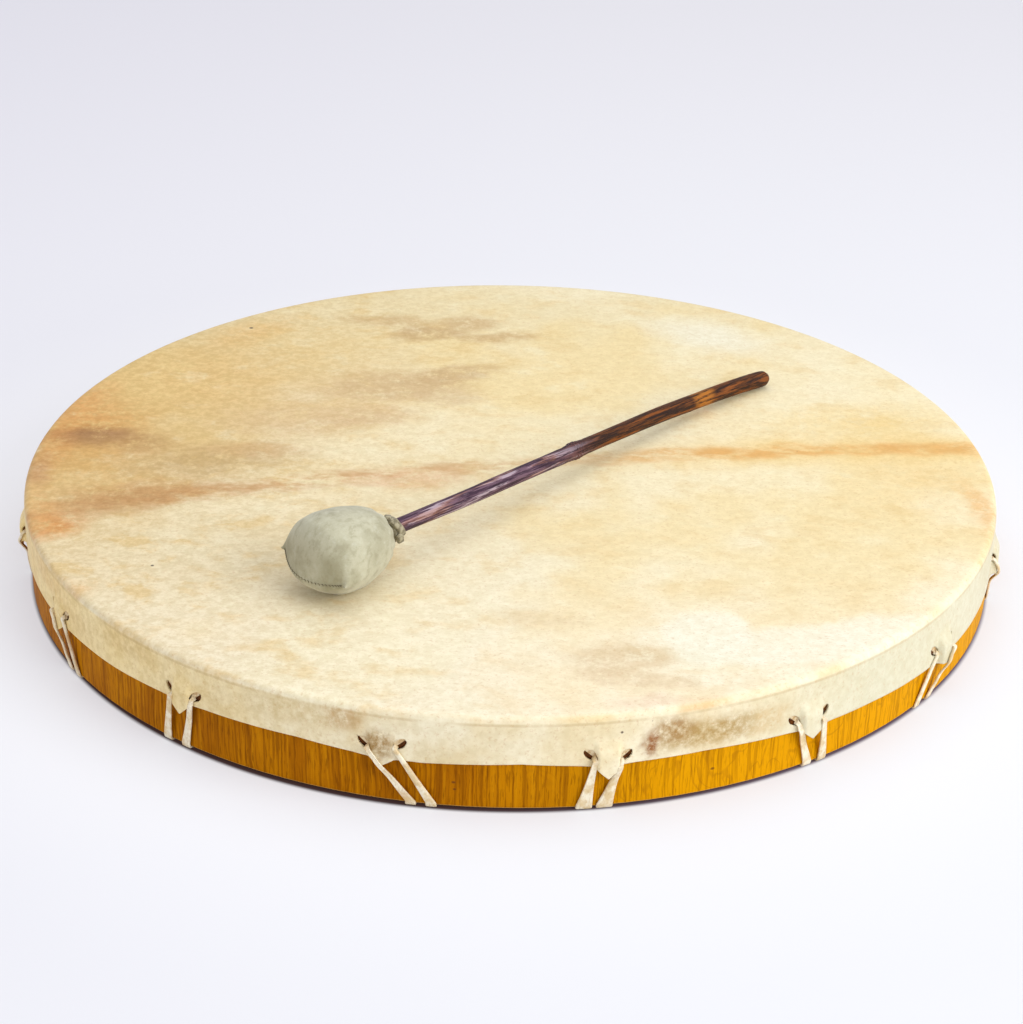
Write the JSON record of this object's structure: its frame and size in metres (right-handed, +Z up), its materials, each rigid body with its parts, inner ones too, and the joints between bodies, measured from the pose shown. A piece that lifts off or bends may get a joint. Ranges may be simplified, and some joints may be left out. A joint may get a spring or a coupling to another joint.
{
  "type": "frame drum",
  "caption": "Round hoop drum with a rawhide head laced to a hand ring behind it, and a soft leather-headed beater lying on the head.",
  "frame": {"origin": "on the drum's axis, at the surface the drum rests on with its head up", "axes": "+Z up along the drum's axis, out of the head; +X and +Y point along two of the lacing bundles behind the head"},
  "size_m": [0.5625, 0.5626, 0.0992],
  "materials": {
    "hoop_veneer": "satin oiled veneer with the grain running up the hoop",
    "hoop_ply": "bent plywood, sanded",
    "drum_hide": "dry stretched rawhide, mottled, slightly glossy",
    "lace_rawhide": "dry rawhide thong",
    "ring_wood": "turned hardwood, oiled",
    "stick_wood": "dark stained branch, scraped and polished",
    "pouch_suede": "grey-green suede",
    "tie_thong": "grey-brown leather thong",
    "wool_stuffing": "packed wool",
    "sewing_thread": "waxed thread"
  },
  "bodies": {
    "drum": {"hoop_core": "hoop_ply", "hoop_face_veneer": "hoop_veneer", "hoop_lining": "hoop_ply", "drumhead": "drum_hide", "lace_01": "lace_rawhide", "lace_02": "lace_rawhide", "lace_03": "lace_rawhide", "lace_04": "lace_rawhide", "lace_05": "lace_rawhide", "lace_06": "lace_rawhide", "lace_07": "lace_rawhide", "lace_08": "lace_rawhide", "lace_09": "lace_rawhide", "lace_10": "lace_rawhide", "lace_11": "lace_rawhide", "lace_12": "lace_rawhide", "lace_13": "lace_rawhide", "lace_14": "lace_rawhide", "lace_15": "lace_rawhide", "lace_16": "lace_rawhide", "binding_1": "lace_rawhide", "binding_2": "lace_rawhide", "binding_3": "lace_rawhide", "binding_4": "lace_rawhide", "binding_5": "lace_rawhide", "binding_6": "lace_rawhide", "binding_7": "lace_rawhide", "binding_8": "lace_rawhide", "hand_ring": "ring_wood"},
    "beater": {"beater_stick": "stick_wood", "beater_core": "wool_stuffing", "beater_pouch": "pouch_suede", "beater_tie": "tie_thong", "beater_stitches": "sewing_thread"}
  },
  "joints": [
    {"name": "beater_lift", "type": "slide", "parent": "drum", "child": "beater", "axis": [0, 0, 1], "range_m": [0, 0.3]}
  ]
}
